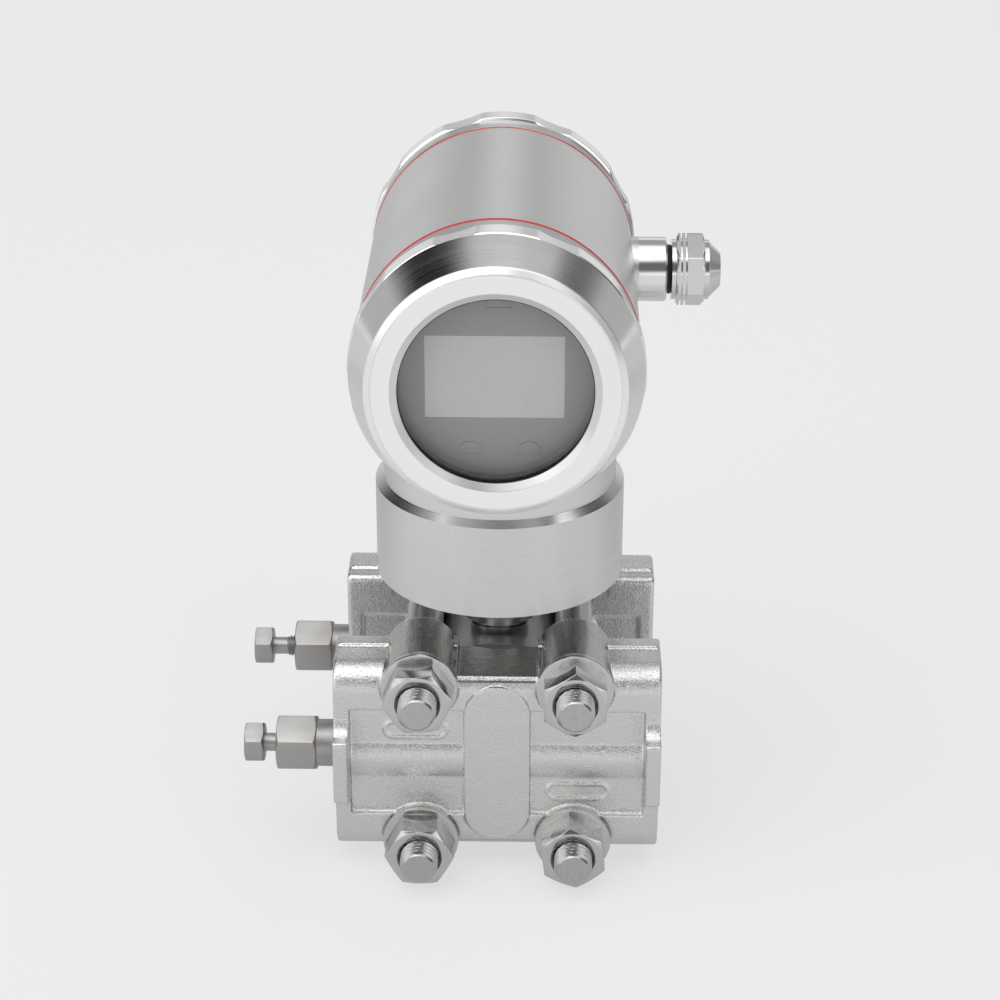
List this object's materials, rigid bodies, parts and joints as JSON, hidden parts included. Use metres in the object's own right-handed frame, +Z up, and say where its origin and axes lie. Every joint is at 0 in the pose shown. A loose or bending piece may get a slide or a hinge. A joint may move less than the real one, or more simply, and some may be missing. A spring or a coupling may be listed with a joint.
{
  "type": "differential pressure transmitter",
  "caption": "Stainless differential pressure transmitter: cast process flanges bolted on a round sensor capsule, with a turning tubular housing, display window, blank rear cap and cable gland.",
  "frame": {"origin": "centre of the rectangle of tapped manifold holes, on the plane of the flanges' machined +X ends", "axes": "+Z up along the neck, -Y towards the display, +X out of the process ports towards the manifold"},
  "size_m": [0.1279, 0.115, 0.184],
  "materials": {
    "housing_steel": "satin, fine blasted",
    "collar_steel": "turned satin",
    "cap_steel": "fine turned, bright",
    "cast_steel": "investment cast, blasted",
    "capsule_steel": "turned",
    "diaphragm_steel": "foil",
    "bolt_steel": "cold formed, bright",
    "washer_steel": "stamped, tumbled",
    "vent_steel": "machined bar",
    "ball_steel": "polished",
    "gland_steel": "turned, polished",
    "screw_steel": "machined",
    "seal_red": "silicone rubber",
    "seal_black": "rubber",
    "gasket_white": "fluoropolymer",
    "window": "toughened, clear",
    "display_face": "printed film",
    "lcd": "liquid crystal glass",
    "board_green": "solder mask",
    "potting": "potted can",
    "terminal_moulding": "moulded",
    "terminal_brass": "plated"
  },
  "bodies": {
    "sensor": {"front_flange": "cast_steel", "rear_flange": "cast_steel", "capsule_body": "capsule_steel", "front_diaphragm": "diaphragm_steel", "rear_diaphragm": "diaphragm_steel", "front_flange_gasket": "gasket_white", "rear_flange_gasket": "gasket_white", "sensor_neck": "capsule_steel", "hub_o_ring": "seal_black", "sensor_board": "board_green", "flange_bolts": "bolt_steel", "flange_nuts": "bolt_steel", "nut_washers": "washer_steel", "head_washers": "washer_steel", "front_vent_body": "vent_steel", "rear_vent_body": "vent_steel"},
    "head": {"housing_body": "housing_steel", "collar_ring": "collar_steel", "collar_grub_screw": "screw_steel", "display_bezel": "display_face", "lcd_panel": "lcd", "display_screws": "screw_steel", "display_board": "board_green", "electronics_module": "potting", "terminal_block": "terminal_moulding", "terminal_screws": "terminal_brass", "gland_body": "gland_steel", "gland_o_ring": "seal_black"},
    "front_seal": {"front_o_ring": "seal_red"},
    "front_cap": {"display_cap": "cap_steel", "window_glass": "window", "window_gasket": "seal_black", "glass_retaining_ring": "screw_steel"},
    "rear_seal": {"rear_o_ring": "seal_red"},
    "back_cap": {"rear_cap": "cap_steel"},
    "gland_bush": {"gland_seal": "seal_black"},
    "dome_nut": {"gland_nut": "gland_steel"},
    "front_valve": {"front_vent_ball": "ball_steel", "front_vent_screw": "vent_steel"},
    "rear_valve": {"rear_vent_ball": "ball_steel", "rear_vent_screw": "vent_steel"}
  },
  "joints": [
    {"name": "head_turn", "type": "hinge", "parent": "sensor", "child": "head", "pos_m": [-0.0427, 0, 0.05], "axis": [0, 0, 1], "range_deg": [-175, 175]},
    {"name": "front_cap_slide", "type": "slide", "parent": "head", "child": "front_seal", "axis": [0, -1, 0], "range_m": [0, 0.012]},
    {"name": "front_cap_turn", "type": "hinge", "parent": "front_seal", "child": "front_cap", "pos_m": [-0.0427, -0.05, 0.11525], "axis": [0, -1, 0], "range_deg": [0, 2880]},
    {"name": "back_cap_slide", "type": "slide", "parent": "head", "child": "rear_seal", "axis": [0, 1, 0], "range_m": [0, 0.012]},
    {"name": "back_cap_turn", "type": "hinge", "parent": "rear_seal", "child": "back_cap", "pos_m": [-0.0427, 0.05, 0.11525], "axis": [0, 1, 0], "range_deg": [0, 2880]},
    {"name": "dome_nut_slide", "type": "slide", "parent": "head", "child": "gland_bush", "axis": [1, 0, 0], "range_m": [0, 0.004]},
    {"name": "dome_nut_turn", "type": "hinge", "parent": "gland_bush", "child": "dome_nut", "pos_m": [0.0075, 0.026, 0.1152], "axis": [1, 0, 0], "range_deg": [0, 960]},
    {"name": "front_valve_travel", "type": "slide", "parent": "sensor", "child": "front_valve", "axis": [-1, 0, 0], "range_m": [0, 0.0035]},
    {"name": "rear_valve_travel", "type": "slide", "parent": "sensor", "child": "rear_valve", "axis": [-1, 0, 0], "range_m": [-0.003, 0.0005]}
  ],
  "couplings": [
    {"joint": "front_cap_slide", "follows": "front_cap_turn", "m_per_rad": 0.0002387},
    {"joint": "back_cap_slide", "follows": "back_cap_turn", "m_per_rad": 0.0002387},
    {"joint": "dome_nut_slide", "follows": "dome_nut_turn", "m_per_rad": 0.0002387}
  ]
}
